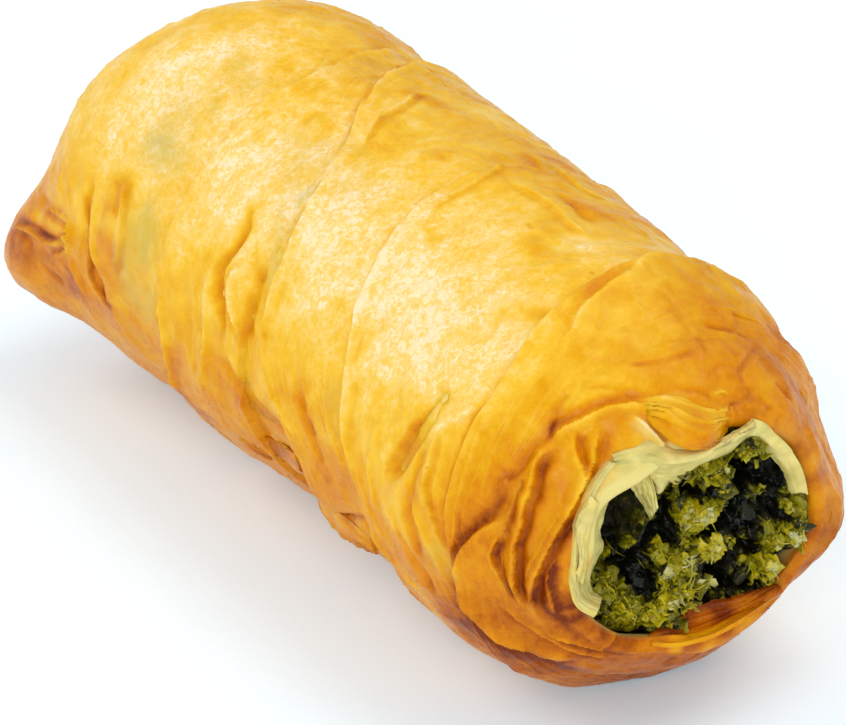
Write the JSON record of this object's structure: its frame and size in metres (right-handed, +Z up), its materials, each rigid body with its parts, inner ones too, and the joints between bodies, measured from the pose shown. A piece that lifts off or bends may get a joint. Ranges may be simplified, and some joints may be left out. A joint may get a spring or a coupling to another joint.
{
  "type": "borek",
  "caption": "Baked roll of thin pastry wound round a chopped spinach filling, closed at one end and open at the other.",
  "frame": {"origin": "under the middle of the roll, on the surface it rests on", "axes": "+X along the roll towards its open end, +Z up"},
  "size_m": [0.1272, 0.053, 0.0497],
  "materials": {
    "pastry": "baked, golden, slightly glossy",
    "filling": "moist chopped leaves"
  },
  "bodies": {
    "root": {"pastry": "pastry", "filling": "filling"}
  },
  "joints": []
}
